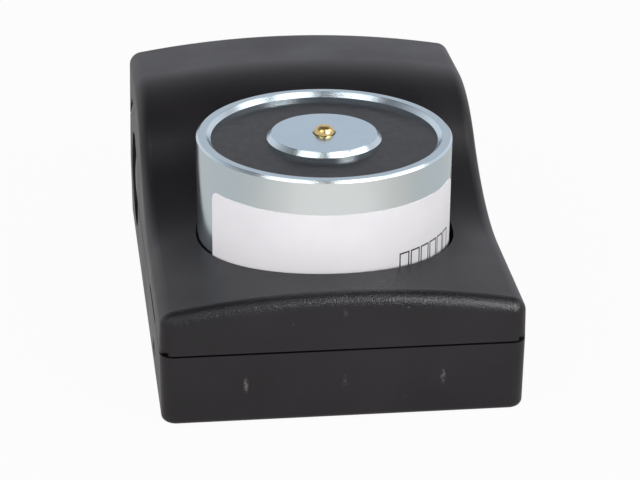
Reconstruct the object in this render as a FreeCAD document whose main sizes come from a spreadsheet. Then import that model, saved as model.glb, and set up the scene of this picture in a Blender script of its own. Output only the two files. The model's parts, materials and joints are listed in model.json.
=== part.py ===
import FreeCAD, Part
import math
import os
import re

import Sketcher
from FreeCAD import Placement, Rotation, Vector

# Electromagnetic door holder with a release button.
# Frame: origin at the centre of the back face, which goes against the wall.
# +Z runs away from the wall along the magnet's axis, -Y is the low front end and +Y the tall end.

# Driving dimensions: name, millimetres or degrees, meaning
SIZES = [
    ("housing_length", 125.0, "front face to rear face"),
    ("front_width", 82.6, "width at the parting plane, front end"),
    ("rear_width", 86.3, "width at the parting plane, rear end"),
    ("seam_height", 17.0, "parting plane above the wall, from the front to the button"),
    ("rear_seam_height", 27.0, "parting plane above the wall, behind the button"),
    ("seam_gap", 0.45, "gap between base and cover"),
    ("base_draft", 0.4, "lean of the base's sides, degrees"),
    ("cover_draft", 1.0, "lean of the cover's sides, degrees"),
    ("corner_radius", 3.4, "upright corners, seen from the front of the door"),
    ("foot_radius", 1.5, "rounding of the back face's edge"),
    ("brow_edge_radius", 3.3, "rounding of the cover's top edge"),
    ("wall", 2.4, "housing wall"),
    ("floor_thickness", 2.5, "base floor"),
    ("rim_thickness", 1.2, "outer half of the stepped rim"),
    ("lip_height", 2.5, "lip standing above the parting plane"),
    ("lip_clearance", 0.15, "play between lip and rim"),
    ("front_height", 30.5, "crown line at the front face"),
    ("front_slope", 1.15, "fall of the crown line behind the front face, degrees"),
    ("dish_start", 38.5, "front face to the start of the dish"),
    ("dish_radius", 55.0, "hollow curve of the crown line"),
    ("ramp_angle", 39.4, "steepest slope of the crown line, degrees"),
    ("brow_radius", 37.0, "round curve of the crown line"),
    ("rear_slope", 2.4, "fall of the crown line to the rear, degrees"),
    ("crown_axis_depth", 185.0, "axis of the crown behind the wall"),
    ("corner_relief", 1.9, "width of the notch under each corner of the cover"),
    ("corner_relief_height", 1.3, "height of that notch at the front"),
    ("rear_relief_height", 0.9, "height of that notch at the rear"),
    ("lift_reach", 18.0, "lift slot from the rear face forwards"),
    ("lift_rise", 10.4, "lift slot above the rear parting plane"),
    ("lift_width", 5.0, "upper end of the lift slot, along the housing"),
    ("pry_start", 17.0, "front face to the screwdriver slot in the seam"),
    ("pry_length", 20.0, "length of that slot"),
    ("pry_height", 1.5, "height of that slot"),
    ("latch_setback", 27.0, "front face to the side latch windows"),
    ("latch_height", 6.6, "middle of the latch windows above the wall"),
    ("window_width", 4.6, "latch window"),
    ("window_height", 3.4, "latch window"),
    ("rear_latch_offset", 20.0, "rear latches either side of the middle"),
    ("arm_thickness", 1.5, "snap arm"),
    ("arm_play", 0.3, "snap arm to wall"),
    ("magnet_setback", 43.1, "front face to the magnet's axis"),
    ("aperture_radius", 30.7, "opening in the cover round the magnet"),
    ("aperture_shift", 0.3, "axis of that opening to the right of the magnet's"),
    ("collar_thickness", 1.6, "collar under that opening"),
    ("collar_bottom", 26.6, "lower end of that collar"),
    ("pot_radius", 30.0, "magnet pot"),
    ("pot_height", 38.0, "magnet pot"),
    ("pot_wall", 3.4, "magnet pot"),
    ("pot_floor", 6.0, "magnet pot"),
    ("pot_edge", 0.6, "outer chamfer of the pot's rim"),
    ("inner_edge", 1.1, "inner chamfer of the rim and chamfer of the pole"),
    ("pole_radius", 13.5, "pole core"),
    ("resin_recess", 1.9, "resin below the pole face"),
    ("resin_depth", 2.2, "thickness of the resin ring"),
    ("plinth_top", 14.5, "seat of the pot above the wall"),
    ("plinth_radius", 28.0, "round plinth under the pot"),
    ("pot_screw_circle", 18.0, "radius of the circle of pot screws"),
    ("pot_screw_radius", 2.0, "pot screw thread"),
    ("pot_screw_depth", 5.0, "pot screw thread held in the pot"),
    ("pot_screw_play", 0.25, "radial play of the pot screws in the plinth"),
    ("pot_screw_head", 3.5, "pot screw head radius"),
    ("head_height", 2.8, "pot screw head height"),
    ("washer_thickness", 0.8, "spring washer"),
    ("bobbin_wall", 1.2, "bobbin tube"),
    ("bobbin_flange", 1.5, "bobbin flange"),
    ("bobbin_play", 0.2, "play round the bobbin"),
    ("winding_thickness", 9.4, "radial build of the coil"),
    ("tape_thickness", 0.4, "wrap round the coil"),
    ("pin_radius", 2.5, "ejector pin"),
    ("pin_play", 0.06, "radial running clearance of the ejector pin"),
    ("pin_reach", 1.8, "ejector pin above the pole face, also its travel"),
    ("mouth_radius", 2.8, "mouth of the pin's bore"),
    ("mouth_depth", 1.0, "mouth of the pin's bore"),
    ("guide_length", 8.0, "length of the pin's guide bore"),
    ("chamber_radius", 3.5, "spring chamber in the pole"),
    ("collar_height", 1.5, "collar of the ejector pin"),
    ("collar_play", 0.2, "radial play of that collar"),
    ("tail_radius", 1.5, "tail of the ejector pin inside the spring"),
    ("tail_length", 7.0, "tail of the ejector pin"),
    ("plug_height", 5.0, "threaded plug under the spring"),
    ("spring_wire", 0.7, "wire of both springs"),
    ("spring_turns", 8.0, "turns of the ejector spring"),
    ("label_drop", 8.2, "pole face to the label's top edge"),
    ("label_height", 25.5, "label"),
    ("label_thickness", 0.12, "label"),
    ("label_left", 65.3, "label from the front line to its left end, degrees"),
    ("label_right", 73.5, "label from the front line to its right end, degrees"),
    ("label_corner", 2.6, "label corner rounding"),
    ("button_setback", 25.0, "rear face to the button's axis"),
    ("button_height", 19.0, "button axis above the wall"),
    ("button_hole_radius", 12.4, "hole in the side for the button"),
    ("button_radius", 10.8, "button head"),
    ("button_dome", 1.4, "rise of the button's face"),
    ("button_sink", 1.6, "edge of the button below the side face"),
    ("flange_radius", 13.1, "flange that holds the button in"),
    ("flange_thickness", 1.2, "flange that holds the button in"),
    ("cup_inset", 3.1, "side face to the mouth of the switch cup"),
    ("cup_radius", 15.0, "switch cup"),
    ("cup_wall", 1.6, "switch cup"),
    ("cup_depth", 9.6, "switch cup"),
    ("stem_radius", 3.0, "button stem"),
    ("stem_play", 0.08, "radial running clearance of the stem"),
    ("contact_thickness", 0.6, "contact strips"),
    ("contact_width", 4.0, "contact strips"),
    ("contact_span", 15.0, "contact bridge"),
    ("button_spring_radius", 5.2, "mean radius of the button spring"),
    ("button_spring_turns", 4.0, "turns of the button spring"),
    ("board_setback", 6.0, "rear face to the board's rear edge"),
    ("board_width", 42.0, "circuit board"),
    ("board_depth", 25.0, "circuit board"),
    ("board_thickness", 1.6, "circuit board"),
    ("board_offset", 6.0, "middle of the board, to the right of the axis"),
    ("board_level", 8.0, "underside of the board above the wall"),
    ("post_radius", 2.7, "posts under the board"),
    ("post_margin", 3.2, "posts from the board's edges and from the terminal block"),
    ("board_screw_radius", 1.1, "board screw thread"),
    ("board_screw_length", 5.0, "board screw thread"),
    ("board_screw_head", 2.1, "board screw head radius"),
    ("pole_pitch", 5.08, "terminal spacing"),
    ("pole_count", 6.0, "terminals"),
    ("block_depth", 10.0, "terminal block"),
    ("block_height", 12.0, "terminal block"),
    ("block_margin", 1.5, "terminal block from the board's rear edge"),
    ("clamp_width", 3.6, "terminal cage"),
    ("clamp_height", 5.0, "terminal cage"),
    ("clamp_depth", 5.0, "terminal cage"),
    ("terminal_screw_radius", 1.6, "terminal screw"),
    ("terminal_screw_length", 5.0, "terminal screw"),
    ("slot_width", 0.6, "screwdriver slots"),
    ("slot_depth", 0.8, "screwdriver slots"),
    ("lead_radius", 0.7, "insulated leads"),
    ("lead_exit_height", 24.6, "coil leads above the wall"),
    ("lead_spacing", 1.8, "between the two coil leads"),
    ("lead_hole_radius", 1.9, "hole in the pot for the coil leads"),
    ("lead_run", 3.0, "front edge of the board to the pads of the coil leads"),
    ("diode_length", 5.0, "diode body"),
    ("diode_radius", 1.3, "diode body"),
    ("diode_wire", 0.4, "diode wire radius"),
    ("fixing_spacing_x", 66.0, "wall screw holes across"),
    ("fixing_spacing_y", 104.0, "wall screw holes along"),
    ("fixing_radius", 2.25, "wall screw holes"),
    ("boss_radius", 5.0, "bosses round the wall screw holes"),
    ("boss_height", 4.5, "bosses round the wall screw holes"),
    ("rib_thickness", 1.4, "ribs between front wall and plinth"),
    ("rib_height", 12.0, "ribs between front wall and plinth"),
    ("rib_spacing", 22.3, "ribs either side of the middle"),
    ("cable_entry_radius", 6.5, "cable entry in the floor"),
    ("cable_entry_margin", 10.0, "cable entry axis to the rear face"),
    ("cable_entry_offset", 21.5, "cable entry axis to the left of the middle"),
]

document = FreeCAD.newDocument("door_holder")
sheet = document.addObject("Spreadsheet::Sheet", "sizes")
for row, (alias, number, meaning) in enumerate(SIZES, 1):
    sheet.set(f"A{row}", meaning)
    sheet.set(f"B{row}", str(number))
    sheet.setAlias(f"B{row}", alias)
document.recompute()

nodes = []


# Helpers that read the sheet

def linked(text):
    """The expression with every size name pointing at the sheet."""
    return re.sub(r"[a-z][a-z_]*", lambda word: "sizes." + word.group(0), str(text))


def size(text):
    """The number that an expression of size names has now."""
    return float(sheet.evalExpression(linked(text)))


def bind(item, name, text):
    """Ties one property of an object to the sheet."""
    item.setExpression(name, linked(text))


def put(item, x, y, z):
    """Ties an object's position to the sheet."""
    for axis, text in zip("xyz", (x, y, z)):
        bind(item, f"Placement.Base.{axis}", text)


def keep(item):
    """Marks an object as one of the delivered pieces."""
    nodes.append(item)
    return item


# Places shared by several pieces, as expressions

FRONT = "(0 - housing_length / 2)"
MAGNET_Y = f"({FRONT} + magnet_setback)"
POLE_FACE = "(plinth_top + pot_height)"
POT_INSIDE = "(plinth_top + pot_floor)"
BUTTON_Y = "(housing_length / 2 - button_setback)"
BUTTON_HALF = (
    "(rear_width / 2 - (rear_width - front_width) / 2 * button_setback / housing_length)"
)
CUP_X = f"(cup_inset - {BUTTON_HALF})"
CUP_BACK = f"({CUP_X} + cup_depth)"
BLOCK_LENGTH = "(pole_count * pole_pitch)"
BOARD_X = "(board_offset - board_width / 2)"
BOARD_Y = "(housing_length / 2 - board_setback - board_depth)"
BOARD_TOP = "(board_level + board_thickness)"
BLOCK_X = f"(board_offset - {BLOCK_LENGTH} / 2)"
BLOCK_Y = f"({BOARD_Y} + board_depth - block_margin - block_depth)"


# Solids bound to the sheet

def outline(body, plane_role, points, name):
    """A sketch of straight lines whose corners are tied to the sheet."""
    plane = [item for item in body.Origin.OriginFeatures if item.Role == plane_role][0]
    sketch = body.newObject("Sketcher::SketchObject", name)
    sketch.AttachmentSupport = [(plane, "")]
    sketch.MapMode = "FlatFace"
    places = [Vector(size(across), size(up), 0) for across, up in points]
    count = len(points)
    for index in range(count):
        sketch.addGeometry(Part.LineSegment(places[index], places[(index + 1) % count]), False)
    for index in range(count):
        sketch.addConstraint(
            Sketcher.Constraint("Coincident", index, 2, (index + 1) % count, 1)
        )
    for index, (across, up) in enumerate(points):
        for kind, axis, text in (("DistanceX", -2, across), ("DistanceY", -1, up)):
            if abs(size(text)) < 1e-9:
                sketch.addConstraint(Sketcher.Constraint("PointOnObject", index, 1, axis))
                continue
            number = sketch.addConstraint(
                Sketcher.Constraint(kind, -1, 1, index, 1, size(text))
            )
            sketch.setExpression(f"Constraints[{number}]", linked(text))
    return sketch


def turned(label, points, x="0", y="0", z="0", along_x=False):
    """A piece turned round its axis: points are (radius, height) expressions."""
    body = document.addObject("PartDesign::Body", label)
    sketch = outline(body, "XZ_Plane", points, label + "_profile")
    turn = body.newObject("PartDesign::Revolution", label + "_turn")
    turn.Profile = sketch
    turn.ReferenceAxis = (sketch, ["V_Axis"])
    turn.Angle = 360
    if along_x:
        body.Placement = Placement(Vector(), Rotation(Vector(0, 1, 0), 90))
    put(body, x, y, z)
    return body


def plate(label, points, thickness, x="0", y="0", z="0"):
    """A flat piece: an outline in plan, padded upwards."""
    body = document.addObject("PartDesign::Body", label)
    sketch = outline(body, "XY_Plane", points, label + "_outline")
    pad = body.newObject("PartDesign::Pad", label + "_pad")
    pad.Profile = sketch
    bind(pad, "Length", thickness)
    put(body, x, y, z)
    return body


def box(name, x, y, z, length, width, height):
    """A block from its low corner."""
    block = document.addObject("Part::Box", name)
    for side, text in (("Length", length), ("Width", width), ("Height", height)):
        bind(block, side, text)
    put(block, x, y, z)
    return block


def rod(name, radius, height, x, y, z, along="z"):
    """A cylinder from its low end, along one axis."""
    cylinder = document.addObject("Part::Cylinder", name)
    turns = {
        "x": Rotation(Vector(0, 1, 0), 90),
        "y": Rotation(Vector(1, 0, 0), -90),
        "z": Rotation(),
    }
    cylinder.Placement = Placement(Vector(), turns[along])
    bind(cylinder, "Radius", radius)
    bind(cylinder, "Height", height)
    put(cylinder, x, y, z)
    return cylinder


def cut(label, whole, tools):
    """The whole less its tools."""
    result = document.addObject("Part::Cut", label)
    result.Base = whole
    result.Tool = tools[0]
    if len(tools) > 1:
        result.Tool = document.addObject("Part::MultiFuse", label + "_tools")
        result.Tool.Shapes = tools
    return result


def group(label, parts):
    """Alike pieces that share one node."""
    result = document.addObject("Part::Compound", label)
    result.Links = parts
    return result


def shaped(label, shape, place=None):
    """A free form that no feature makes; its sizes are read from the sheet."""
    item = document.addObject("Part::Feature", label)
    item.Shape = shape
    if place is not None:
        item.Placement = place
    return item


# Housing forms shared by base and cover

BIG = 200.0


def lean(level):
    """How far the sides stand in at a level; they are widest at the front parting plane."""
    above = level - size("seam_height")
    draft = size("cover_draft") if above > 0 else size("base_draft")
    return abs(above) * math.tan(math.radians(draft))


def leaning_block(inset, low, high, corner):
    """A block of the housing's plan with its four sides leaning between two levels."""
    half_length = size("housing_length") / 2
    rings = []
    for level in (low, high):
        front = size("front_width") / 2 - inset - lean(level)
        rear = size("rear_width") / 2 - inset - lean(level)
        reach = half_length - inset - lean(level)
        corners = [(-front, -reach), (front, -reach), (rear, reach), (-rear, reach)]
        points = [Vector(x, y, level) for x, y in corners]
        rings.append(Part.makePolygon(points + points[:1]))
    solid = Part.makeLoft(rings, True, True)
    upright = [edge for edge in solid.Edges if edge.BoundBox.ZLength > 0.9 * (high - low)]
    return solid.makeFillet(corner, upright)


def block(inset, low, high, corner):
    """The housing's plan between two levels, in two leaning halves where it crosses the seam."""
    seam = size("seam_height")
    if low >= seam or high <= seam:
        return leaning_block(inset, low, high, corner)
    return leaning_block(inset, low, seam, corner).fuse(leaning_block(inset, seam, high, corner))


def slab(low, high, front_end, rear_end):
    """A wide block between two levels and two stations along the housing."""
    return Part.makeBox(BIG, rear_end - front_end, high - low, Vector(-BIG / 2, front_end, low))


def above_seam(shape, lift):
    """The part of a shape above the stepped parting plane."""
    step = size(BUTTON_Y)
    low_front = slab(-BIG, size("seam_height") + lift, -BIG, step)
    low_rear = slab(-BIG, size("rear_seam_height") + lift, step - lift, BIG)
    return shape.cut(low_front.fuse(low_rear))


def below_seam(shape, lift):
    """The part of a shape below the stepped parting plane."""
    step = size(BUTTON_Y)
    high_front = slab(size("seam_height") + lift, BIG, -BIG, step)
    high_rear = slab(size("rear_seam_height") + lift, BIG, -BIG, BIG)
    return shape.cut(high_front.fuse(high_rear))


def normal(slope):
    """Upward normal of the crown line where it has this slope, as (y, z)."""
    angle = math.radians(slope)
    return Vector(0, -math.sin(angle), math.cos(angle))


def run(slope):
    """Direction of the crown line where it has this slope."""
    angle = math.radians(slope)
    return Vector(0, math.cos(angle), math.sin(angle))


def crown(depth):
    """Everything under the crown, its surface set in by a depth."""
    entry, ramp, leave = -size("front_slope"), size("ramp_angle"), -size("rear_slope")
    hollow, brow = size("dish_radius"), size("brow_radius")
    corner = Vector(0, size(FRONT), size("front_height"))
    dish = corner + run(entry) * (size("dish_start") / math.cos(math.radians(entry)))
    dish_centre = dish + normal(entry) * hollow
    brow_centre = dish_centre - normal(ramp) * (hollow + brow)

    def on_dish(slope):
        return dish_centre - normal(slope) * (hollow + depth)

    def on_brow(slope):
        return brow_centre + normal(slope) * (brow - depth)

    start = on_dish(entry) - run(entry) * BIG / 2
    end = on_brow(leave) + run(leave) * BIG / 2
    bottom = -size("crown_axis_depth") / 4
    line = [
        Part.makeLine(start, on_dish(entry)),
        Part.Arc(on_dish(entry), on_dish((entry + ramp) / 2), on_dish(ramp)).toShape(),
        Part.Arc(on_brow(ramp), on_brow((ramp + leave) / 2), on_brow(leave)).toShape(),
        Part.makeLine(on_brow(leave), end),
        Part.makeLine(end, Vector(0, end.y, bottom)),
        Part.makeLine(Vector(0, end.y, bottom), Vector(0, start.y, bottom)),
        Part.makeLine(Vector(0, start.y, bottom), start),
    ]
    face = Part.Face(Part.Wire(line))
    spread = 25
    axis = Vector(0, 0, -size("crown_axis_depth"))
    face.rotate(axis, Vector(0, 1, 0), -spread)
    return face.revolve(axis, Vector(0, 1, 0), 2 * spread)


def round_bar(radius, low, high, y):
    """An upright cylinder on the housing's middle line."""
    return Part.makeCylinder(radius, high - low, Vector(0, y, low))


def aperture_bar(growth, low, high):
    """An upright cylinder in the opening round the magnet, or wider."""
    middle = Vector(size("aperture_shift"), size(MAGNET_Y), low)
    return Part.makeCylinder(size("aperture_radius") + growth, high - low, middle)


def button_bore():
    """The hole through the left side for the button."""
    inside = size(CUP_X)
    start = Vector(inside - BIG / 4, size(BUTTON_Y), size("button_height"))
    return Part.makeCylinder(size("button_hole_radius"), BIG / 4, start, Vector(1, 0, 0))


def latch_places():
    """Each latch: a point on the outer face and the way inwards."""
    half_length = size("housing_length") / 2
    setback = size("latch_setback")
    flare = (size("rear_width") - size("front_width")) / 2 * setback / size("housing_length")
    side = size("front_width") / 2 + flare
    y = size(FRONT) + setback
    offset = size("rear_latch_offset")
    return [
        (Vector(-side, y, 0), Vector(1, 0, 0), size("seam_height")),
        (Vector(side, y, 0), Vector(-1, 0, 0), size("seam_height")),
        (Vector(-offset, half_length, 0), Vector(0, -1, 0), size("rear_seam_height")),
        (Vector(offset, half_length, 0), Vector(0, -1, 0), size("rear_seam_height")),
    ]


def facing_box(point, inward, start, end, width, low, high):
    """A block set in from a wall: start and end are depths behind its outer face."""
    across = Vector(-inward.y, inward.x, 0) * (width / 2)
    first = point + inward * start - across
    last = point + inward * end + across
    corner = Vector(min(first.x, last.x), min(first.y, last.y), low)
    return Part.makeBox(abs(last.x - first.x), abs(last.y - first.y), high - low, corner)


def union(shapes):
    """Several solids made one."""
    return shapes[0].multiFuse(shapes[1:]).removeSplitter()


# Base

def fixing_places():
    """Middle of each wall screw hole."""
    across, along = size("fixing_spacing_x") / 2, size("fixing_spacing_y") / 2
    return [Vector(x, y, 0) for x in (-across, across) for y in (-along, along)]


def post_places():
    """Middle of each post under the circuit board, in front of the terminal block."""
    margin = size("post_margin")
    left, front = size(BOARD_X), size(BOARD_Y)
    columns = (left + margin, left + size("board_width") - margin)
    rows = (front + margin, size(BLOCK_Y) - margin)
    return [Vector(x, y, 0) for x in columns for y in rows]


POT_SCREW_TURNS = (90, 210, 330)


def pot_screw_places():
    """Middle of each pot screw, on a circle round the magnet's axis."""
    circle, middle = size("pot_screw_circle"), Vector(0, size(MAGNET_Y), 0)
    angles = [math.radians(turn) for turn in POT_SCREW_TURNS]
    return [middle + Vector(math.cos(a), math.sin(a), 0) * circle for a in angles]


def base_shell():
    """Tray with a stepped rim."""
    wall, corner, floor = size("wall"), size("corner_radius"), size("floor_thickness")
    seam = size("seam_height")
    high = size("rear_seam_height") + size("lip_height")
    lower = leaning_block(0, 0, seam, corner)
    foot = [edge for edge in lower.Edges if edge.BoundBox.ZMax < 0.01]
    outer = lower.makeFillet(size("foot_radius"), foot).fuse(leaning_block(0, seam, high, corner))
    lip_inset = size("rim_thickness + lip_clearance")
    lip = block(lip_inset, floor, high, corner - lip_inset)
    room = block(wall, floor, high + wall, corner - wall)
    return below_seam(outer, 0).fuse(below_seam(lip, size("lip_height"))).cut(room)


def base_fittings():
    """Plinth, bosses, posts, ribs and switch cradle that stand on the floor."""
    magnet_y, floor = size(MAGNET_Y), size("floor_thickness")
    fittings = [round_bar(size("plinth_radius"), 0, size("plinth_top"), magnet_y)]
    for place in fixing_places():
        fittings.append(Part.makeCylinder(size("boss_radius"), size("boss_height"), place))
    for place in post_places():
        fittings.append(Part.makeCylinder(size("post_radius"), size("board_level"), place))
    thickness = size("rib_thickness")
    for x in (-size("rib_spacing"), 0, size("rib_spacing")):
        corner = Vector(x - thickness / 2, size(FRONT) + size("wall") / 2, floor / 2)
        reach = size("magnet_setback") - size("wall") / 2
        fittings.append(Part.makeBox(thickness, reach, size("rib_height") - floor / 2, corner))
    cradle_corner = Vector(size(CUP_X), size(BUTTON_Y) - size("cup_radius") / 2, floor / 2)
    cradle = Part.makeBox(
        size("cup_depth"), size("cup_radius"), size("button_height") / 2, cradle_corner
    )
    fittings.append(cradle)
    inner = block(size("wall") / 2, 0, size("seam_height"), size("corner_radius"))
    return [item.common(inner) for item in fittings]


def base_openings():
    """Everything cut out of the base."""
    magnet_y, floor = size(MAGNET_Y), size("floor_thickness")
    recess_top = size("plinth_top") - floor
    openings = [round_bar(size("plinth_radius") - size("wall"), -1, recess_top, magnet_y)]
    for place in fixing_places():
        openings.append(Part.makeCylinder(size("fixing_radius"), BIG, place - Vector(0, 0, 1)))
    for place in pot_screw_places():
        radius = size("pot_screw_radius + pot_screw_play")
        openings.append(Part.makeCylinder(radius, BIG, place))
    for place in post_places():
        depth = size("board_screw_length")
        start = place + Vector(0, 0, size("board_level") - depth)
        openings.append(Part.makeCylinder(size("board_screw_radius"), BIG, start))
    entry_y = size("housing_length") / 2 - size("cable_entry_margin")
    entry = Vector(-size("cable_entry_offset"), entry_y, -1)
    openings.append(Part.makeCylinder(size("cable_entry_radius"), BIG, entry))
    openings.append(button_bore())
    cup_start = Vector(size(CUP_X), size(BUTTON_Y), size("button_height"))
    openings.append(
        Part.makeCylinder(size("cup_radius"), size("cup_depth"), cup_start, Vector(1, 0, 0))
    )
    half_window = size("window_height") / 2
    for point, inward, _ in latch_places():
        low = size("latch_height") - half_window
        openings.append(facing_box(
            point, inward, -1, size("wall") + 1, size("window_width"), low, low + 2 * half_window
        ))
    return openings


base_solid = union([base_shell()] + base_fittings())
for opening in base_openings():
    base_solid = base_solid.cut(opening)
keep(shaped("base", base_solid.removeSplitter()))


# Cover

def top_edges(solid):
    """The rim where the crown meets the leaning sides."""
    half_length = size("housing_length") / 2
    reach = size("corner_radius") + 1.5
    found = []
    for edge in solid.Edges:
        low = edge.BoundBox.ZMin
        middle = edge.valueAt((edge.FirstParameter + edge.LastParameter) / 2)
        side = size("front_width") / 2 - reach
        near_rim = abs(middle.x) > side or abs(middle.y) > half_length - reach
        if low > size("seam_height") + 1 and near_rim:
            found.append(edge)
    return found


def cover_shell():
    """Crowned hood with a collar that hangs round the magnet."""
    wall, corner = size("wall"), size("corner_radius")
    seam, high = size("seam_height"), size("front_height") * 2
    body = block(0, seam, high, corner).common(crown(0))
    body = body.makeFillet(size("brow_edge_radius"), top_edges(body))
    room = block(wall, seam - 1, high, corner - wall).common(crown(wall))
    ring = aperture_bar(size("collar_thickness"), size("collar_bottom"), high)
    return body.cut(room).fuse(ring.common(body))


def lift_slots():
    """A slot in each side wall that rises from the rear corner and widens towards the button."""
    rear, base_level = size("housing_length") / 2, size("rear_seam_height")
    start = rear - size("lift_reach")
    top, wall = base_level + size("lift_rise"), size("wall")
    corners = [(rear, base_level), (start + size("lift_width"), top), (start, top)]
    slots = []
    for side in (-1, 1):
        outside = side * (size("rear_width") / 2 + 1)
        points = [Vector(outside, y, z) for y, z in corners]
        face = Part.Face(Part.makePolygon(points + points[:1]))
        slots.append(face.extrude(Vector(-side * (wall * 2 + 1), 0, 0)))
    return slots


def cover_rim_cuts():
    """Room for the lip, notches under the corners and the screwdriver slots."""
    rim, lip, corner = size("rim_thickness"), size("lip_height"), size("corner_radius")
    inner = block(rim, size("seam_height") - 1, size("front_height") * 2, corner - rim)
    room = below_seam(inner, lip + size("seam_gap") * 2)
    cuts = [room]
    relief = size("corner_relief")
    half_length = size("housing_length") / 2
    for end, width, low, tall in (
        (-1, "front_width", "seam_height", "corner_relief_height"),
        (1, "rear_width", "rear_seam_height", "rear_relief_height"),
    ):
        for side in (-1, 1):
            x, y = side * size(width) / 2, end * half_length
            corner_point = Vector(x - relief, y - relief, 0)
            cuts.append(Part.makeBox(
                2 * relief, 2 * relief, size(low) + size(tall), corner_point
            ))
    pry_y = size(FRONT) + size("pry_start")
    pry_top = size("seam_height") + size("pry_height")
    for side in (-1, 1):
        middle = side * size("front_width") / 2
        cuts.append(Part.makeBox(
            2 * rim, size("pry_length"), pry_top, Vector(middle - rim, pry_y, 0)
        ))
    cuts.extend(lift_slots())
    return cuts


def snap_arms():
    """Arms that hang from the cover and hook into the base's windows."""
    arms = []
    wall, play, thick = size("wall"), size("arm_play"), size("arm_thickness")
    width = size("window_width") - 2 * play
    low = size("latch_height") - size("window_height") / 2 + play
    top = size("latch_height") + size("window_height") / 2 - play
    for point, inward, seam in latch_places():
        root = seam + size("lip_height") + 1
        depth = wall + play + thick
        arms.append(facing_box(point, inward, wall + play, depth, width, low, root + 4))
        arms.append(facing_box(point, inward, wall / 2 + play, depth, width, root, root + 4))
        arms.append(facing_box(point, inward, wall / 2, depth, width, low, top))
    return arms


cover_solid = above_seam(cover_shell(), size("seam_gap"))
for opening in cover_rim_cuts():
    cover_solid = cover_solid.cut(opening)
cover_solid = union([cover_solid] + snap_arms())
cover_solid = cover_solid.cut(aperture_bar(0, 0, BIG)).cut(button_bore())
keep(shaped("cover", cover_solid.removeSplitter()))


# Magnet

pot_blank = turned("pot_blank", [
    ("0", "0"),
    ("pot_radius - pot_edge", "0"),
    ("pot_radius", "pot_edge"),
    ("pot_radius", "pot_height - pot_edge"),
    ("pot_radius - pot_edge", "pot_height"),
    ("pot_radius - pot_wall + inner_edge", "pot_height"),
    ("pot_radius - pot_wall", "pot_height - inner_edge"),
    ("pot_radius - pot_wall", "pot_floor"),
    ("0", "pot_floor"),
], y=MAGNET_Y, z="plinth_top")
pot_holes = [rod(
    "pot_lead_hole", "lead_hole_radius", "pot_wall + 2",
    "0", f"{MAGNET_Y} + pot_radius - pot_wall - 1", "lead_exit_height", along="y",
)]
for index, turn in enumerate(POT_SCREW_TURNS, 1):
    pot_holes.append(rod(
        f"pot_thread_{index}", "pot_screw_radius", "pot_screw_depth + 1",
        f"pot_screw_circle * {math.cos(math.radians(turn)):.9f}",
        f"{MAGNET_Y} + pot_screw_circle * {math.sin(math.radians(turn)):.9f}",
        "plinth_top - 1",
    ))
keep(cut("magnet_pot", pot_blank, pot_holes))

keep(turned("pole_core", [
    ("chamber_radius", "0"),
    ("pole_radius", "0"),
    ("pole_radius", "pot_height - pot_floor - inner_edge"),
    ("pole_radius - inner_edge", "pot_height - pot_floor"),
    ("mouth_radius", "pot_height - pot_floor"),
    ("mouth_radius", "pot_height - pot_floor - mouth_depth"),
    ("pin_radius + pin_play", "pot_height - pot_floor - mouth_depth"),
    ("pin_radius + pin_play", "pot_height - pot_floor - mouth_depth - guide_length"),
    ("chamber_radius", "pot_height - pot_floor - mouth_depth - guide_length"),
], y=MAGNET_Y, z=POT_INSIDE))

BOBBIN_TOP = "(pot_height - pot_floor - resin_recess - resin_depth)"
BOBBIN_INNER = "(pole_radius + bobbin_play)"
BOBBIN_RIM = "(pot_radius - pot_wall - bobbin_play)"
WINDING_INNER = f"({BOBBIN_INNER} + bobbin_wall)"
WINDING_OUTER = f"({WINDING_INNER} + winding_thickness)"
keep(turned("coil_bobbin", [
    (BOBBIN_INNER, "0"),
    (BOBBIN_RIM, "0"),
    (BOBBIN_RIM, "bobbin_flange"),
    (WINDING_INNER, "bobbin_flange"),
    (WINDING_INNER, f"{BOBBIN_TOP} - bobbin_flange"),
    (BOBBIN_RIM, f"{BOBBIN_TOP} - bobbin_flange"),
    (BOBBIN_RIM, BOBBIN_TOP),
    (BOBBIN_INNER, BOBBIN_TOP),
], y=MAGNET_Y, z=POT_INSIDE))


def ring(label, inner, outer, low, high, z):
    """A plain ring round the magnet's axis."""
    corners = [(inner, low), (outer, low), (outer, high), (inner, high)]
    return turned(label, corners, y=MAGNET_Y, z=z)


keep(ring(
    "coil_winding", WINDING_INNER, WINDING_OUTER,
    "bobbin_flange", f"{BOBBIN_TOP} - bobbin_flange", POT_INSIDE,
))
keep(ring(
    "winding_tape", WINDING_OUTER, f"{WINDING_OUTER} + tape_thickness",
    "bobbin_flange", f"{BOBBIN_TOP} - bobbin_flange", POT_INSIDE,
))
keep(ring(
    "potting_resin", "pole_radius", "pot_radius - pot_wall",
    BOBBIN_TOP, f"{BOBBIN_TOP} + resin_depth", POT_INSIDE,
))

COLLAR_TOP = "(pot_height - pot_floor - mouth_depth - guide_length)"
COLLAR_BOTTOM = f"({COLLAR_TOP} - collar_height)"
pin = turned("ejector_pin", [
    ("0", f"{COLLAR_BOTTOM} - tail_length"),
    ("tail_radius", f"{COLLAR_BOTTOM} - tail_length"),
    ("tail_radius", COLLAR_BOTTOM),
    ("chamber_radius - collar_play", COLLAR_BOTTOM),
    ("chamber_radius - collar_play", COLLAR_TOP),
    ("pin_radius", COLLAR_TOP),
    ("pin_radius", "pot_height - pot_floor + pin_reach"),
    ("0", "pot_height - pot_floor + pin_reach"),
], y=MAGNET_Y, z=POT_INSIDE)
document.recompute()
dome = pin.newObject("PartDesign::Fillet", "ejector_pin_dome")
tip = max(
    range(len(pin.Shape.Edges)), key=lambda number: pin.Shape.Edges[number].BoundBox.ZMin
)
dome.Base = (pin.getObject("ejector_pin_turn"), [f"Edge{tip + 1}"])
bind(dome, "Radius", "pin_radius * 0.8")
keep(pin)

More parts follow.
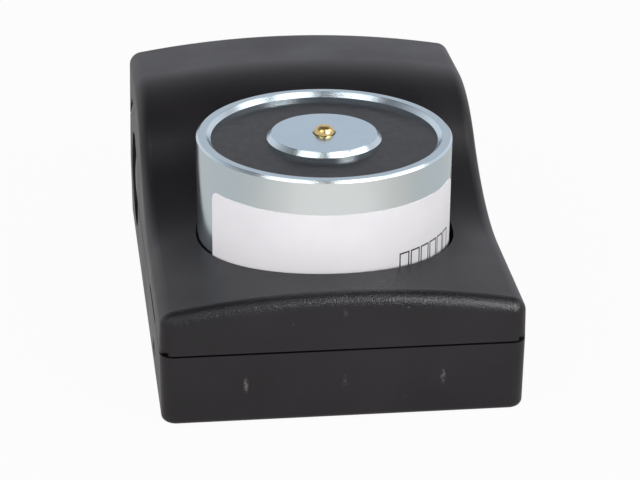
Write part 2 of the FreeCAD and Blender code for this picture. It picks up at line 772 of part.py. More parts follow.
keep(turned("spring_plug", [
    ("0", "slot_depth"),
    ("slot_width", "slot_depth"),
    ("slot_width", "0"),
    ("chamber_radius", "0"),
    ("chamber_radius", "plug_height"),
    ("0", "plug_height"),
], y=MAGNET_Y, z=POT_INSIDE))


def spring(mean_radius, wire, length, turns):
    """A helical spring on +Z, its ends ground flat at 0 and at its length."""
    height = length - wire / 2
    helix = Part.makeHelix(height / turns, height, mean_radius)
    circle = Part.Circle(Vector(mean_radius, 0, 0), Vector(0, 1, 0), wire / 2).toShape()
    coil = Part.Wire(helix.Edges).makePipeShell([Part.Wire([circle])], True, True)
    coil.translate(Vector(0, 0, wire / 4))
    return coil.common(Part.makeCylinder(mean_radius + wire, length))


plug_top = size(f"{POT_INSIDE} + plug_height")
keep(shaped(
    "ejector_spring",
    spring(
        size("chamber_radius - collar_play - spring_wire / 2 - 0.1"), size("spring_wire"),
        size(f"{POT_INSIDE} + {COLLAR_BOTTOM}") - plug_top, size("spring_turns"),
    ),
    Placement(Vector(0, size(MAGNET_Y), plug_top), Rotation()),
))


def turned_shape(points, middle, direction):
    """A solid turned from (radius, height) numbers about an axis through a point."""
    places = [Vector(radius, 0, height) for radius, height in points]
    face = Part.Face(Part.makePolygon(places + places[:1]))
    solid = face.revolve(Vector(), Vector(0, 0, 1), 360)
    solid.Placement = Placement(middle, Rotation(Vector(0, 0, 1), direction))
    return solid


def pot_screw(middle):
    """A cheese-head screw from below, with its head under the washer."""
    thread, head = size("pot_screw_radius"), size("pot_screw_head")
    seat = size("plinth_top - floor_thickness - washer_thickness")
    bottom, top = seat - size("head_height"), size("plinth_top + pot_screw_depth")
    slot, deep = size("slot_width"), size("slot_depth")
    solid = turned_shape(
        [(0, bottom), (head, bottom), (head, seat), (thread, seat), (thread, top), (0, top)],
        middle, Vector(0, 0, 1),
    )
    notch = Part.makeBox(2 * head, slot * 2, deep, middle + Vector(-head, -slot, bottom))
    return solid.cut(notch)


def pot_washer(middle):
    """A plain ring between a pot screw's head and the plinth."""
    inner, outer = size("pot_screw_radius"), size("pot_screw_head")
    top = size("plinth_top - floor_thickness")
    low = top - size("washer_thickness")
    corners = [(inner, low), (outer, low), (outer, top), (inner, top)]
    return turned_shape(corners, middle, Vector(0, 0, 1))


keep(shaped("pot_screws", Part.Compound([pot_screw(p) for p in pot_screw_places()])))
keep(shaped("pot_washers", Part.Compound([pot_washer(p) for p in pot_screw_places()])))


def label_corner(turn, along, level, up):
    """What rounding one corner takes off the label: a square less its round, laid on the pot."""
    reach, radius = size("label_corner"), size("pot_radius")
    square = Part.makeBox(
        2 * reach, 2 * reach, 2 * reach,
        Vector(0 if along > 0 else -2 * reach, -radius - reach, 0 if up > 0 else -2 * reach),
    )
    start = Vector(0, -radius - 2 * reach, 0)
    quarter = square.cut(Part.makeCylinder(reach, 4 * reach, start, Vector(0, 1, 0)))
    quarter.translate(Vector(0, 0, level - up * reach))
    inward = math.degrees(reach / radius)
    quarter.rotate(Vector(), Vector(0, 0, 1), turn - along * inward)
    return quarter


def label_shape():
    """A thin sheet wrapped round the front of the pot."""
    radius, height = size("pot_radius"), size("label_height")
    left, right = size("label_left"), size("label_right")
    bottom, up = size(f"{POLE_FACE} - label_drop - label_height"), Vector(0, 0, 1)
    low = Vector(0, 0, bottom)
    wide = Part.makeCylinder(radius + size("label_thickness"), height, low, up, left + right)
    wrapped = wide.cut(Part.makeCylinder(radius, height, low))
    wrapped.rotate(Vector(), up, -90 - left)
    for turn, along in ((-left, -1), (right, 1)):
        for level, rise in ((bottom, -1), (bottom + height, 1)):
            wrapped = wrapped.cut(label_corner(turn, along, level, rise))
    wrapped.translate(Vector(0, size(MAGNET_Y), 0))
    return wrapped


keep(shaped("label", label_shape()))


# Release switch

keep(turned("switch_cup", [
    ("stem_radius + stem_play", "cup_depth - cup_wall"),
    ("cup_radius - cup_wall", "cup_depth - cup_wall"),
    ("cup_radius - cup_wall", "0"),
    ("cup_radius", "0"),
    ("cup_radius", "cup_depth"),
    ("stem_radius + stem_play", "cup_depth"),
], x=CUP_X, y=BUTTON_Y, z="button_height", along_x=True))

STEM_END = "(cup_depth + contact_thickness)"


def button_shape():
    """Domed push button with a flange behind the wall and a stem."""
    head, rise = size("button_radius"), size("button_dome")
    edge = size("button_sink - cup_inset")
    flange_low, flange_high = 0, size("flange_thickness")
    stem, end = size("stem_radius"), size(STEM_END)
    spigot, tip_end = stem / 2, size(f"{STEM_END} + 2 * contact_thickness")
    apex, rim = Vector(0, 0, edge - rise), Vector(head, 0, edge)
    bulge = (head * head + rise * rise) / (2 * rise)
    half_way = Vector(head / 2, 0, edge - rise + bulge - math.sqrt(bulge ** 2 - head ** 2 / 4))
    rest = [
        (head, edge), (head, flange_low), (size("flange_radius"), flange_low),
        (size("flange_radius"), flange_high), (stem, flange_high), (stem, end),
        (spigot, end), (spigot, tip_end), (0, tip_end),
    ]
    places = [Vector(radius, 0, height) for radius, height in rest] + [apex]
    edges = [Part.Arc(apex, half_way, rim).toShape()]
    edges += [Part.makeLine(a, b) for a, b in zip(places, places[1:])]
    solid = Part.Face(Part.Wire(edges)).revolve(Vector(), Vector(0, 0, 1), 360)
    face_edge = [e for e in solid.Edges if abs(e.BoundBox.ZMax - edge) < 0.01
                 and abs(e.BoundBox.ZMin - edge) < 0.01]
    return solid.makeFillet(rise / 2, face_edge)


switch_place = Placement(
    Vector(size(CUP_X), size(BUTTON_Y), size("button_height")), Rotation(Vector(0, 1, 0), 90)
)
keep(shaped("release_button", button_shape(), switch_place))

flange_back = size("flange_thickness")
keep(shaped(
    "button_spring",
    spring(
        size("button_spring_radius"), size("spring_wire"),
        size("cup_depth - cup_wall") - flange_back, size("button_spring_turns"),
    ),
    switch_place.multiply(Placement(Vector(0, 0, flange_back), Rotation())),
))

bridge_blank = box(
    "bridge_blank", f"{CUP_BACK} + contact_thickness", f"{BUTTON_Y} - contact_span / 2",
    "button_height - contact_width / 2", "contact_thickness", "contact_span", "contact_width",
)
bridge_hole = rod(
    "bridge_hole", "stem_radius / 2", "contact_thickness + 2",
    f"{CUP_BACK} - 1", BUTTON_Y, "button_height", along="x",
)
keep(cut("contact_bridge", bridge_blank, [bridge_hole]))


def contact_strip(name, side):
    """A fixed contact on the back of the cup, reaching out past the bridge."""
    near = f"{BUTTON_Y} + {side} * (contact_span / 2 - contact_width / 2)"
    start = near if side > 0 else f"{near} - contact_width"
    return box(
        name, CUP_BACK, start, "button_height - contact_width / 2",
        "contact_thickness", "contact_width", "contact_width",
    )


keep(group("fixed_contacts", [contact_strip("contact_front", -1), contact_strip("contact_rear", 1)]))


# Circuit board and terminals

def board_hole(index, column, line):
    """A screw hole at one side of the board, in front of the terminal block."""
    x = f"{BOARD_X} + post_margin + {column} * (board_width - 2 * post_margin)"
    y = f"{BOARD_Y} + post_margin + {line} * ({BLOCK_Y} - {BOARD_Y} - 2 * post_margin)"
    return rod(
        f"board_hole_{index}", "board_screw_radius + 0.2", "board_thickness + 2",
        x, y, "board_level - 1",
    )


corners_of_board = [(0, 0), (0, 1), (1, 0), (1, 1)]
board_blank = plate("board_blank", [
    ("0", "0"), ("board_width", "0"), ("board_width", "board_depth"), ("0", "board_depth"),
], "board_thickness", x=BOARD_X, y=BOARD_Y, z="board_level")
keep(cut("circuit_board", board_blank, [
    board_hole(index, column, line)
    for index, (column, line) in enumerate(corners_of_board, 1)
]))


def board_screw(middle):
    """A pan-head screw down through the board into its post."""
    thread, head = size("board_screw_radius"), size("board_screw_head")
    seat = size(BOARD_TOP)
    low, top = size("board_level - board_screw_length"), seat + head * 0.7
    corners = [(0, low), (thread, low), (thread, seat), (head, seat), (head, top), (0, top)]
    solid = turned_shape(corners, middle, Vector(0, 0, 1))
    slot, deep = size("slot_width"), size("slot_depth")
    notch = Part.makeBox(2 * head, slot, deep, middle + Vector(-head, -slot / 2, top - deep))
    return solid.cut(notch)


keep(shaped("board_screws", Part.Compound([board_screw(p) for p in post_places()])))

pole_numbers = range(int(size("pole_count")))
POLE_Y = f"({BLOCK_Y} + block_depth / 2)"
CLAMP_LOW = f"({BOARD_TOP} + block_height / 8)"


def pole_x(number):
    """Middle of one terminal."""
    return f"({BLOCK_X} + pole_pitch * ({number} + 0.5))"


block_blank = box(
    "block_blank", BLOCK_X, BLOCK_Y, BOARD_TOP, BLOCK_LENGTH, "block_depth", "block_height"
)
block_cuts = []
clamps = []
terminal_screws = []
for number in pole_numbers:
    middle = pole_x(number)
    block_cuts.append(rod(
        f"well_{number + 1}", "terminal_screw_radius + 0.2", "block_height",
        middle, POLE_Y, f"{CLAMP_LOW} + clamp_height",
    ))
    block_cuts.append(box(
        f"pocket_{number + 1}", f"{middle} - clamp_width / 2", f"{POLE_Y} - clamp_depth / 2",
        CLAMP_LOW, "clamp_width", "clamp_depth + block_depth", "clamp_height",
    ))
    cage = box(
        f"cage_{number + 1}", f"{middle} - clamp_width / 2", f"{POLE_Y} - clamp_depth / 2",
        CLAMP_LOW, "clamp_width", "clamp_depth", "clamp_height",
    )
    mouth = box(
        f"cage_mouth_{number + 1}", f"{middle} - clamp_width / 3",
        f"{POLE_Y} - clamp_depth", f"{CLAMP_LOW} + clamp_width / 6",
        "clamp_width * 2 / 3", "2 * clamp_depth", "clamp_height / 2",
    )
    bore = rod(
        f"cage_bore_{number + 1}", "terminal_screw_radius * 0.8", "clamp_height",
        middle, POLE_Y, f"{CLAMP_LOW} + clamp_height / 2",
    )
    clamps.append(cut(f"clamp_{number + 1}", cage, [mouth, bore]))
    terminal_screws.append((size(middle), size(POLE_Y)))
keep(cut("terminal_block", block_blank, block_cuts))
keep(group("terminal_clamps", clamps))


def terminal_screw(x, y):
    """A slotted screw in a terminal's well, its tip in the cage."""
    head = size("terminal_screw_radius")
    seat = size(f"{CLAMP_LOW} + clamp_height")
    tip_low = seat - size("clamp_height") / 3
    top = tip_low + size("terminal_screw_length")
    corners = [(0, tip_low), (head * 0.8, tip_low), (head * 0.8, seat), (head, seat),
               (head, top), (0, top)]
    solid = turned_shape(corners, Vector(x, y, 0), Vector(0, 0, 1))
    slot, deep = size("slot_width"), size("slot_depth")
    notch = Part.makeBox(2 * head, slot, deep, Vector(x - head, y - slot / 2, top - deep))
    return solid.cut(notch)


keep(shaped("terminal_screws", Part.Compound([terminal_screw(x, y) for x, y in terminal_screws])))


# Leads: straight runs joined by tangent arcs

def routed(points, radius):
    """A round lead along a route, each corner rounded as far as its runs allow."""
    start = points[0]
    edges = []
    for before, corner, after in zip(points, points[1:], points[2:]):
        back, on = (before - corner), (after - corner)
        shorter = min(back.Length, on.Length)
        back.normalize()
        on.normalize()
        turn = math.pi - back.getAngle(on)
        reach = 0.45 * shorter
        bend = reach / math.tan(turn / 2)
        inward = back + on
        inward.normalize()
        middle = corner + inward * (bend / math.cos(turn / 2) - bend)
        first, last = corner + back * reach, corner + on * reach
        edges.append(Part.LineSegment(start, first).toShape())
        edges.append(Part.Arc(first, middle, last).toShape())
        start = last
    edges.append(Part.LineSegment(start, points[-1]).toShape())
    path = Part.Wire(edges)
    circle = Part.Circle(points[0], points[1] - points[0], radius).toShape()
    return path.makePipeShell([Part.Wire([circle])], True, False)


def coil_lead(side):
    """From the coil through the pot's wall and down to the board."""
    x = side * size("lead_spacing") / 2
    level, top = size("lead_exit_height"), size(BOARD_TOP)
    start_y = size(f"{MAGNET_Y} + {WINDING_OUTER} + tape_thickness")
    end_y = size(f"{BOARD_Y} + lead_run")
    points = [Vector(x, start_y, level), Vector(x, end_y, level), Vector(x, end_y, top)]
    return routed(points, size("lead_radius"))


def switch_lead(side):
    """From a fixed contact to the board."""
    start = size(f"{CUP_BACK} + contact_thickness")
    reach = size("contact_span") / 2 + size("contact_width") / 4
    y, level = size(BUTTON_Y) + side * reach, size("button_height")
    end_x = size(BOARD_X) + size(f"board_width - {BLOCK_LENGTH}") / 4
    y_end = size(f"{BLOCK_Y} + block_depth / 2") + side * size("lead_spacing")
    points = [
        Vector(start, y, level),
        Vector((start + end_x) / 2, y, level),
        Vector(end_x, y_end, level),
        Vector(end_x, y_end, size(BOARD_TOP)),
    ]
    return routed(points, size("lead_radius"))


keep(shaped("coil_lead_a", coil_lead(-1)))
keep(shaped("coil_lead_b", coil_lead(1)))
keep(shaped("switch_lead_a", switch_lead(-1)))
keep(shaped("switch_lead_b", switch_lead(1)))


def diode_shape():
    """A small diode lying on the board, with bent wires."""
    radius, length, wire = size("diode_radius"), size("diode_length"), size("diode_wire")
    y = size(f"({BOARD_Y} + {BLOCK_Y}) / 2")
    x, top = size(BOARD_X) + size("board_width") * 0.75, size(BOARD_TOP)
    body = Part.makeCylinder(radius, length, Vector(x, y - length / 2, top + radius),
                             Vector(0, 1, 0))
    parts = [body]
    for end in (-1, 1):
        outer = y + end * (length / 2 + radius)
        parts.append(Part.makeCylinder(
            wire, length / 2 + radius, Vector(x, y, top + radius), Vector(0, end, 0)
        ))
        parts.append(Part.makeCylinder(wire, radius, Vector(x, outer, top)))
        parts.append(Part.makeSphere(wire, Vector(x, outer, top + radius)))
    return union(parts)


keep(shaped("diode", diode_shape()))


# Checks and files

document.recompute()
for item in document.Objects:
    if "Invalid" in item.State or "Error" in item.State:
        raise RuntimeError(f"{item.Name} is {item.State}")
os.makedirs("parts", exist_ok=True)
for item in nodes:
    if item.Shape.isNull() or not item.Shape.isValid() or not item.Shape.Solids:
        raise RuntimeError(f"{item.Label} has no valid solid")
    item.Shape.exportStep(f"parts/{item.Label}.step")
    print(item.Label, len(item.Shape.Solids), round(item.Shape.Volume, 1))
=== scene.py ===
import json
import math

import bpy
from mathutils import Matrix, Vector


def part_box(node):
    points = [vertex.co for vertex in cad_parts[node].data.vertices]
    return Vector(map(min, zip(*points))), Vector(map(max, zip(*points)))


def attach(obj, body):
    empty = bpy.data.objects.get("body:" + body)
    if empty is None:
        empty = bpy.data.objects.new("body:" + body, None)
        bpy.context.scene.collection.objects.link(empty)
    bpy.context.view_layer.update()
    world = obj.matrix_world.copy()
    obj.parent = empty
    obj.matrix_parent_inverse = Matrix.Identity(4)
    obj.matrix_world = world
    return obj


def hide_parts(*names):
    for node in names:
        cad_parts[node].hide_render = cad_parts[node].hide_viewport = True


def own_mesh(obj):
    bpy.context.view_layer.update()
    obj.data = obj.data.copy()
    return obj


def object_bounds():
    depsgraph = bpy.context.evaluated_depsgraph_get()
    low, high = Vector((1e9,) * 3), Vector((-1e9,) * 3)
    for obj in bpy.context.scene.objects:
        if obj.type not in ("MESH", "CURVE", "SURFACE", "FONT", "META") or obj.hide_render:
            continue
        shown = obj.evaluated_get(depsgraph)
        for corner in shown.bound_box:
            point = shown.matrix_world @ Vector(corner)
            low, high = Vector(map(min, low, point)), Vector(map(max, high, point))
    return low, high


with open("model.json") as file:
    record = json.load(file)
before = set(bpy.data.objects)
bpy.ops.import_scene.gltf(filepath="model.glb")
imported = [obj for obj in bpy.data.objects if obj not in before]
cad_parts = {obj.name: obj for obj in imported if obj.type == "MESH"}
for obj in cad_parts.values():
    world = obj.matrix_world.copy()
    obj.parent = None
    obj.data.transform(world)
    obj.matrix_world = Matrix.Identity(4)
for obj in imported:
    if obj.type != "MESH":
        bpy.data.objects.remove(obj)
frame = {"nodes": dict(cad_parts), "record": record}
cad_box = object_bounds()
MM = 0.001
nodes = frame["nodes"]


# Places read from the frame

def middle(node):
    """Middle of a node's box."""
    low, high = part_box(node)
    return (low + high) / 2


MAGNET = middle("magnet_pot")
POLE_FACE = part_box("pole_core")[1].z
POT_RADIUS = (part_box("magnet_pot")[1].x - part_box("magnet_pot")[0].x) / 2
FRONT_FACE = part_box("base")[0].y


# Camera

LENS, SENSOR = 127.43, 36
DISTANCE = 0.5411
YAW, PITCH, ROLL = 6.756, 23.995, -0.442
TARGET = Vector((-0.8 * MM, MAGNET.y, 25 * MM))

camera_data = bpy.data.cameras.new("camera")
camera_data.lens = LENS
camera_data.sensor_width = SENSOR
camera_data.clip_end = 10
camera = bpy.data.objects.new("camera", camera_data)
bpy.context.collection.objects.link(camera)
turn = (
    Matrix.Rotation(math.radians(-YAW), 4, "Z")
    @ Matrix.Rotation(math.radians(90 - PITCH), 4, "X")
    @ Matrix.Rotation(math.radians(-ROLL), 4, "Z")
)
camera.matrix_world = Matrix.Translation(TARGET + turn @ Vector((0, 0, DISTANCE))) @ turn
bpy.context.scene.camera = camera


# Studio

BOX_AIM = Vector((0, 0, 30 * MM))
FILL_AIM = Vector((0, -40 * MM, 30 * MM))


def soft_light(name, place, target, width, height, power):
    """A rectangular soft box that looks at a point."""
    data = bpy.data.lights.new(name, "AREA")
    data.shape = "RECTANGLE"
    data.size, data.size_y = width, height
    data.energy = power
    light = bpy.data.objects.new(name, data)
    light.location = place
    direction = target - Vector(place)
    light.rotation_euler = direction.to_track_quat("-Z", "Y").to_euler()
    bpy.context.collection.objects.link(light)
    return light


# The boxes give the highlights, the fills the even light on paper and floor.
for name, place, width, height, power in (
    ("box_left", (-0.54, -0.48, 1.0), 0.72, 0.7, 2.9),
    ("box_right", (0.48, -0.57, 1.0), 0.56, 0.8, 3.6),
    ("box_side", (1.02, -0.06, 0.95), 0.62, 0.6, 2.2),
    ("box_front", (0.68, -0.82, 0.76), 0.55, 0.42, 12.5),
):
    soft_light(name, place, BOX_AIM, width, height, power).visible_diffuse = False
for name, place, side, power in (
    ("fill_top", (0, -0.3, 1.6), 2.4, 3.0),
    ("fill_left", (-1.0, -0.85, 0.25), 1.2, 11.2),
    ("fill_right", (0.96, -0.9, 0.25), 1.2, 11.2),
):
    soft_light(name, place, FILL_AIM, side, side, power).visible_glossy = False


class Graph:
    """Short calls for building a node tree."""

    def __init__(self, tree):
        self.tree = tree
        tree.nodes.clear()

    def add(self, kind, **settings):
        node = self.tree.nodes.new(kind)
        for name, value in settings.items():
            setattr(node, name, value)
        return node

    def feed(self, socket, value):
        """Links another socket, or sets a plain value."""
        if hasattr(value, "links"):
            self.tree.links.new(value, socket)
        else:
            socket.default_value = value

    def math(self, operation, first, second=0.0, clamp=False):
        node = self.add("ShaderNodeMath", operation=operation, use_clamp=clamp)
        self.feed(node.inputs[0], first)
        self.feed(node.inputs[1], second)
        return node.outputs[0]

    def vector(self, operation, first, second=(0, 0, 0)):
        node = self.add("ShaderNodeVectorMath", operation=operation)
        self.feed(node.inputs[0], first)
        self.feed(node.inputs[1], second)
        return node.outputs["Value" if operation == "LENGTH" else "Vector"]

    def place(self):
        """Position in the object's own frame, in metres."""
        return self.add("ShaderNodeTexCoord").outputs["Object"]

    def split(self, vector):
        """The three parts of a vector."""
        node = self.add("ShaderNodeSeparateXYZ")
        self.feed(node.inputs[0], vector)
        return tuple(node.outputs)

    def noise(self, scale, detail=2.0, roughness=0.5):
        node = self.add("ShaderNodeTexNoise")
        self.feed(node.inputs["Vector"], self.place())
        node.inputs["Scale"].default_value = scale
        node.inputs["Detail"].default_value = detail
        node.inputs["Roughness"].default_value = roughness
        return node.outputs["Fac"]

    def spread(self, value, low, high, to_low=0.0, to_high=1.0):
        """A value stretched from one range to another and held at its ends."""
        node = self.add("ShaderNodeMapRange", clamp=True)
        for index, item in enumerate((value, low, high, to_low, to_high)):
            self.feed(node.inputs[index], item)
        return node.outputs[0]

    def blend(self, factor, first, second):
        node = self.add("ShaderNodeMix", data_type="RGBA")
        self.feed(node.inputs["Factor"], factor)
        self.feed(node.inputs[6], first)
        self.feed(node.inputs[7], second)
        return node.outputs[2]

    def bump(self, height, distance, strength):
        node = self.add("ShaderNodeBump")
        node.inputs["Distance"].default_value = distance
        self.feed(node.inputs["Strength"], strength)
        self.feed(node.inputs["Height"], height)
        return node.outputs["Normal"]

    def surface(self, **inputs):
        shader = self.add("ShaderNodeBsdfPrincipled")
        for name, value in inputs.items():
            self.feed(shader.inputs[name.replace("_", " ")], value)
        self.finish(shader.outputs["BSDF"])

    def finish(self, shader):
        output = self.add("ShaderNodeOutputMaterial")
        self.feed(output.inputs["Surface"], shader)


def material(name):
    """A new material and its graph."""
    made = bpy.data.materials.new(name)
    made.use_nodes = True
    return made, Graph(made.node_tree)


def rgb(red, green, blue):
    return (red, green, blue, 1.0)


WHITE = rgb(1, 1, 1)
SKY_TINT = rgb(0.94, 0.96, 1.03)
SKY_LOW, SKY_HIGH = (0.42, 0.78), (0.8, 0.14)  # rise of the direction, strength there
PAPER = rgb(0.85, 0.85, 0.85)
MIRRORED_TINT = rgb(1.0, 0.985, 0.98)
MIRRORED_DIM, MIRRORED_BRIGHT = 0.58, 0.87
SEEN_SHARE = 0.95

world = bpy.data.worlds.new("studio")
bpy.context.scene.world = world
world.use_nodes = True
sky = Graph(world.node_tree)
path = sky.add("ShaderNodeLightPath")
rise = sky.split(sky.add("ShaderNodeTexCoord").outputs["Generated"])[2]
ambient = sky.add("ShaderNodeBackground")
ambient.inputs["Color"].default_value = SKY_TINT
sky.feed(
    ambient.inputs["Strength"],
    sky.spread(rise, SKY_LOW[0], SKY_HIGH[0], SKY_LOW[1], SKY_HIGH[1]),
)
white = sky.add("ShaderNodeBackground")
white.inputs["Color"].default_value = WHITE
white.inputs["Strength"].default_value = 1.0
pick = sky.add("ShaderNodeMixShader")
sky.feed(pick.inputs[0], path.outputs["Is Camera Ray"])
sky.feed(pick.inputs[1], ambient.outputs[0])
sky.feed(pick.inputs[2], white.outputs[0])
sky.feed(sky.add("ShaderNodeOutputWorld").inputs["Surface"], pick.outputs[0])

FLOOR_REACH = 3.0
FLOOR_GAP = 0.1 * MM
floor_mesh = bpy.data.meshes.new("floor")
floor_mesh.from_pydata(
    [(x, y, 0) for x, y in ((-1, -1), (1, -1), (1, 1), (-1, 1))], [], [(0, 1, 2, 3)]
)
floor = bpy.data.objects.new("floor", floor_mesh)
floor.scale = (FLOOR_REACH, FLOOR_REACH, 1)
floor.location.z = cad_box[0][2] - FLOOR_GAP
bpy.context.collection.objects.link(floor)
floor_material, graph = material("floor")
path = graph.add("ShaderNodeLightPath")
paper = graph.add("ShaderNodeBsdfDiffuse")
paper.inputs["Color"].default_value = PAPER
spot = graph.split(graph.vector("MULTIPLY", graph.place(), (FLOOR_REACH, FLOOR_REACH, 1)))
ahead = graph.spread(spot[1], -40 * MM, -120 * MM)
beside = graph.spread(graph.math("ABSOLUTE", spot[0]), 160 * MM, 60 * MM)
mirrored = graph.add("ShaderNodeEmission")
mirrored.inputs["Color"].default_value = MIRRORED_TINT
graph.feed(
    mirrored.inputs["Strength"],
    graph.spread(
        graph.math("MULTIPLY", ahead, beside), 0.0, 1.0, MIRRORED_DIM, MIRRORED_BRIGHT
    ),
)
seen = graph.add("ShaderNodeEmission")
seen.inputs["Color"].default_value = WHITE
seen.inputs["Strength"].default_value = 1.0
for first, second, factor in (
    (paper, mirrored, path.outputs["Is Glossy Ray"]),
    (None, seen, graph.math("MULTIPLY", path.outputs["Is Camera Ray"], SEEN_SHARE)),
):
    mix = graph.add("ShaderNodeMixShader")
    graph.feed(mix.inputs[0], factor)
    graph.feed(mix.inputs[1], (first or mixed).outputs[0])
    graph.feed(mix.inputs[2], second.outputs[0])
    mixed = mix
graph.finish(mixed.outputs[0])
floor_mesh.materials.append(floor_material)


# Materials

# The lighter grey of the marks is partly wear from rubbing and partly painted sheen of sink
# dimples.
DUST, RUB_AND_SHEEN, INK = rgb(0.25, 0.25, 0.26), rgb(0.2, 0.19, 0.19), rgb(0.03, 0.03, 0.03)
GRAIN_DEPTH = 0.15 * MM
SPECKLE_DEPTH = 0.02 * MM


def moulded(name, colour, rough=0.37, grain=1700, marks=(), coarse=None):
    """Black moulded plastic: eroded grain, faint clouding, a few dust specks, and lighter grey
    marks that are partly wear from rubbing and partly painted sheen of sink dimples.

    coarse is the front face, the height and the crown's radius of an edge with stronger grain.
    """
    made, graph = material(name)
    clouds = graph.noise(60, 3.0)
    fine = graph.noise(grain, 2.0, 0.65)
    dust = graph.spread(graph.noise(1500, 0.0), 0.89, 0.92)
    cloudy = [channel * 1.4 for channel in colour]
    tint = graph.blend(graph.spread(clouds, 0.35, 0.7), rgb(*colour), rgb(*cloudy))
    rub_and_sheen_noise = graph.noise(1500, 3.0, 0.7)
    # Lighter grey marks: partly wear from rubbing, partly painted sheen of sink dimples.
    for place, size, strength in marks:
        away = graph.vector("SUBTRACT", graph.place(), place)
        away = graph.vector("DIVIDE", away, size)
        spot = graph.spread(graph.vector("LENGTH", away), 1.0, 0.2)
        rub_and_sheen = graph.math("MULTIPLY", spot, graph.spread(rub_and_sheen_noise, 0.4, 0.6))
        tint = graph.blend(graph.math("MULTIPLY", rub_and_sheen, strength), tint, RUB_AND_SHEEN)
    tint = graph.blend(graph.math("MULTIPLY", dust, 0.3), tint, DUST)
    roughness = graph.spread(clouds, 0.3, 0.7, rough - 0.03, rough + 0.05)
    strength = 0.3
    if coarse is not None:
        across, along, up = graph.split(graph.place())
        front, height, radius = coarse
        near = graph.spread(along, front + 5 * MM, front + 2 * MM)
        fall = graph.math("MULTIPLY", across, across)
        fall = graph.math("DIVIDE", fall, 2 * radius)
        over = graph.math("ADD", up, fall)
        over = graph.spread(over, height, height + 2 * MM)
        rim = graph.math("MULTIPLY", near, over)
        strength = graph.spread(rim, 0.0, 1.0, strength, 0.85)
        roughness = graph.math("SUBTRACT", roughness, graph.math("MULTIPLY", rim, 0.07))
    graph.surface(
        Base_Color=tint, Roughness=roughness, IOR=1.43,
        Normal=graph.bump(fine, GRAIN_DEPTH, strength),
    )
    return made


def round_magnet(graph):
    """Position from the magnet's axis, as three parts."""
    return graph.split(graph.vector("SUBTRACT", graph.place(), (MAGNET.x, MAGNET.y, 0)))


def plated(name, front_zinc_and_sheen, side_zinc_and_sheen, top_zinc_and_sheen):
    """Bright zinc plate with painted reflection tints: near neutral at the front of the wall,
    bluer at its sides, a bluer painted sky sheen on the upper faces, random clouds of tone and
    fine speckle.
    """
    made, graph = material(name)
    _, along, up = round_magnet(graph)
    # Painted reflection: the front of the wall gets a near neutral tint and its sides a bluer
    # one; random clouds of tone shift the border.
    front_sheen_share = graph.spread(along, -0.6 * POT_RADIUS, -0.95 * POT_RADIUS)
    clouds = graph.spread(graph.noise(70, 3.0, 0.55), 0.3, 0.7, -0.25, 0.25)
    speckle = graph.noise(2600, 2.0, 0.7)
    front_sheen_share = graph.math("ADD", front_sheen_share, clouds, True)
    tint = graph.blend(front_sheen_share, rgb(*side_zinc_and_sheen), rgb(*front_zinc_and_sheen))
    # Painted sky sheen: faces at the height of the pole face get a darker, bluer tint.
    top_sheen_share = graph.spread(up, POLE_FACE - 0.25 * MM, POLE_FACE - 0.05 * MM)
    tint = graph.blend(top_sheen_share, tint, rgb(*top_zinc_and_sheen))
    smear = graph.spread(graph.noise(160, 4.0, 0.6), 0.35, 0.75, 0.17, 0.24)
    tilt = graph.split(graph.add("ShaderNodeNewGeometry").outputs["Normal"])[2]
    edge = graph.math(
        "MULTIPLY", graph.spread(tilt, 0.1, 0.35), graph.spread(tilt, 0.97, 0.85)
    )
    graph.surface(
        Base_Color=tint, Metallic=1.0, Roughness=smear,
        Normal=graph.bump(speckle, SPECKLE_DEPTH, graph.spread(edge, 0.0, 1.0, 0.1, 1.0)),
    )
    return made


def printed_label(name):
    """White foil with a row of empty boxes at its lower right."""
    made, graph = material(name)
    across, along, up = round_magnet(graph)
    turn = graph.math("ARCTAN2", across, graph.math("MULTIPLY", along, -1.0))
    turn = graph.math("DEGREES", turn)
    row = graph.math("DIVIDE", graph.math("SUBTRACT", turn, BOX_START), BOX_STEP)
    edge = graph.math("ABSOLUTE", graph.math("SUBTRACT", graph.math("FRACT", row), 0.5))
    inside_row = graph.math(
        "MULTIPLY", graph.math("GREATER_THAN", row, 0.0), graph.math("LESS_THAN", row, BOX_COUNT)
    )
    inside = graph.math("MULTIPLY", graph.math("LESS_THAN", edge, 0.44), inside_row)
    under = graph.math("LESS_THAN", up, BOX_TOP)
    upright = graph.math("GREATER_THAN", edge, 0.33)
    level = graph.math("GREATER_THAN", up, BOX_TOP - BOX_LINE)
    line = graph.math("MULTIPLY", graph.math("MAXIMUM", upright, level), inside)
    line = graph.math("MULTIPLY", line, under)
    clouds = graph.spread(graph.noise(90, 2.0), 0.3, 0.7)
    paper = graph.blend(clouds, rgb(0.84, 0.815, 0.82), rgb(0.88, 0.855, 0.86))
    graph.surface(
        Base_Color=graph.blend(line, paper, INK), Roughness=0.42, IOR=1.45,
        Normal=graph.bump(graph.noise(400, 2.0), 0.004 * MM, 0.4),
    )
    return made


def simple_metal(name, colour, rough):
    """Bright metal with a fine uneven finish."""
    made, graph = material(name)
    fine = graph.noise(2500, 3.0, 0.6)
    dark = [channel * 0.8 for channel in colour]
    graph.surface(
        Base_Color=graph.blend(fine, rgb(*dark), rgb(*colour)), Metallic=1.0,
        Roughness=graph.spread(fine, 0.3, 0.7, rough - 0.05, rough + 0.08),
        Normal=graph.bump(fine, 0.003 * MM, 0.4),
    )
    return made


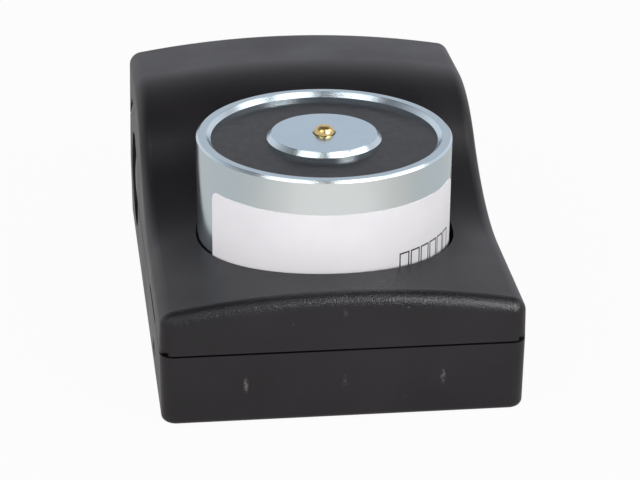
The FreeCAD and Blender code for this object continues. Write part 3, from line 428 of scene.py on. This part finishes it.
def smooth_plastic(name, colour, rough, grain=1200, depth=0.01, ior=1.5):
    """Plain plastic, resin, lacquer or foil with a slight unevenness."""
    made, graph = material(name)
    fine = graph.noise(grain, 3.0, 0.55)
    clouds = graph.noise(120, 2.0)
    dark = [channel * 0.88 for channel in colour]
    graph.surface(
        Base_Color=graph.blend(graph.spread(clouds, 0.3, 0.7), rgb(*dark), rgb(*colour)),
        Roughness=graph.spread(fine, 0.3, 0.7, rough - 0.03, rough + 0.06), IOR=ior,
        Normal=graph.bump(fine, depth * MM, 0.4),
    )
    return made


BLACK = (0.0075, 0.0059, 0.0074)
CROWN_RADIUS = 215 * MM
BOX_START, BOX_STEP, BOX_COUNT = 28.0, 6.4, 6.0
BOX_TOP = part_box("label")[1].z - 11.6 * MM
BOX_LINE = 0.4 * MM
MARK_SPACING, BASE_MARK_HEIGHT, COVER_MARK_HEIGHT = 22.3 * MM, 9.5 * MM, 26.2 * MM
COARSE_HEIGHT = 25.5 * MM

# Each mark is its place, its half sizes and its strength; the marks are partly wear from rubbing
# and partly painted sheen of sink dimples.
base_marks = [
    ((x, FRONT_FACE, BASE_MARK_HEIGHT), (0.7 * MM, 3 * MM, 2.1 * MM), strength)
    for x, strength in ((-MARK_SPACING, 0.7), (0.0, 0.14), (MARK_SPACING, 0.6))
]
cover_marks = [((0.0, FRONT_FACE, COVER_MARK_HEIGHT), (0.8 * MM, 3 * MM, 1.3 * MM), 0.14)]

materials = {
    "housing": moulded("base_plastic", BLACK, marks=base_marks),
    "cover": moulded(
        "cover_plastic", BLACK, grain=2500, marks=cover_marks,
        coarse=(FRONT_FACE, COARSE_HEIGHT, CROWN_RADIUS),
    ),
    "button": moulded("button_plastic", (0.016, 0.015, 0.017), 0.3),
    # Both zinc finishes hold painted reflection tints: the front of the wall, its sides, and a
    # painted sky sheen on the upper faces.
    "zinc": plated(
        "zinc_plate", (0.745, 0.785, 0.785), (0.69, 0.80, 0.86), (0.50, 0.60, 0.66)
    ),
    "pole_zinc": plated(
        "pole_zinc", (0.745, 0.785, 0.78), (0.69, 0.79, 0.83), (0.52, 0.635, 0.72)
    ),
    "resin": smooth_plastic("potting_resin", (0.011, 0.010, 0.0125), 0.3, 500, 0.001, ior=1.35),
    "brass": simple_metal("brass", (0.86, 0.62, 0.26), 0.2),
    "steel": simple_metal("screw_steel", (0.62, 0.63, 0.65), 0.3),
    "copper": simple_metal("winding_copper", (0.75, 0.36, 0.18), 0.35),
    "label_foil": printed_label("label_foil"),
    "dark_plastic": smooth_plastic("dark_plastic", (0.02, 0.02, 0.022), 0.4),
    "tape": smooth_plastic("winding_tape", (0.75, 0.62, 0.25), 0.4),
    "board": smooth_plastic("board_lacquer", (0.02, 0.13, 0.05), 0.25),
    "terminal_plastic": smooth_plastic("terminal_plastic", (0.03, 0.2, 0.07), 0.4),
    "lead_dark": smooth_plastic("lead_dark", (0.02, 0.02, 0.02), 0.35),
    "lead_light": smooth_plastic("lead_light", (0.45, 0.03, 0.025), 0.35),
}

slots = {entry["node"]: entry["material_slot"] for entry in frame["record"]["subparts"]}
finishes = {**slots, "cover": "cover", "pole_core": "pole_zinc"}
for name, node in nodes.items():
    node.data.materials.clear()
    node.data.materials.append(materials[finishes[name]])


# Springs copied, the copies held by the housing and the originals hidden

for name, joint, axis, fixed in (
    ("ejector_spring", "ejector_slide", (0, 0, 1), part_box("ejector_spring")[0]),
    ("button_spring", "button_slide", (1, 0, 0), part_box("button_spring")[1]),
):
    spring = bpy.data.objects.new(name + "_coil", nodes[name].data.copy())
    bpy.context.collection.objects.link(spring)
    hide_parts(name)
    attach(spring, "housing")
    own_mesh(spring)


# Close

bpy.context.scene.view_settings.view_transform = "Standard"

bpy.context.view_layer.update()
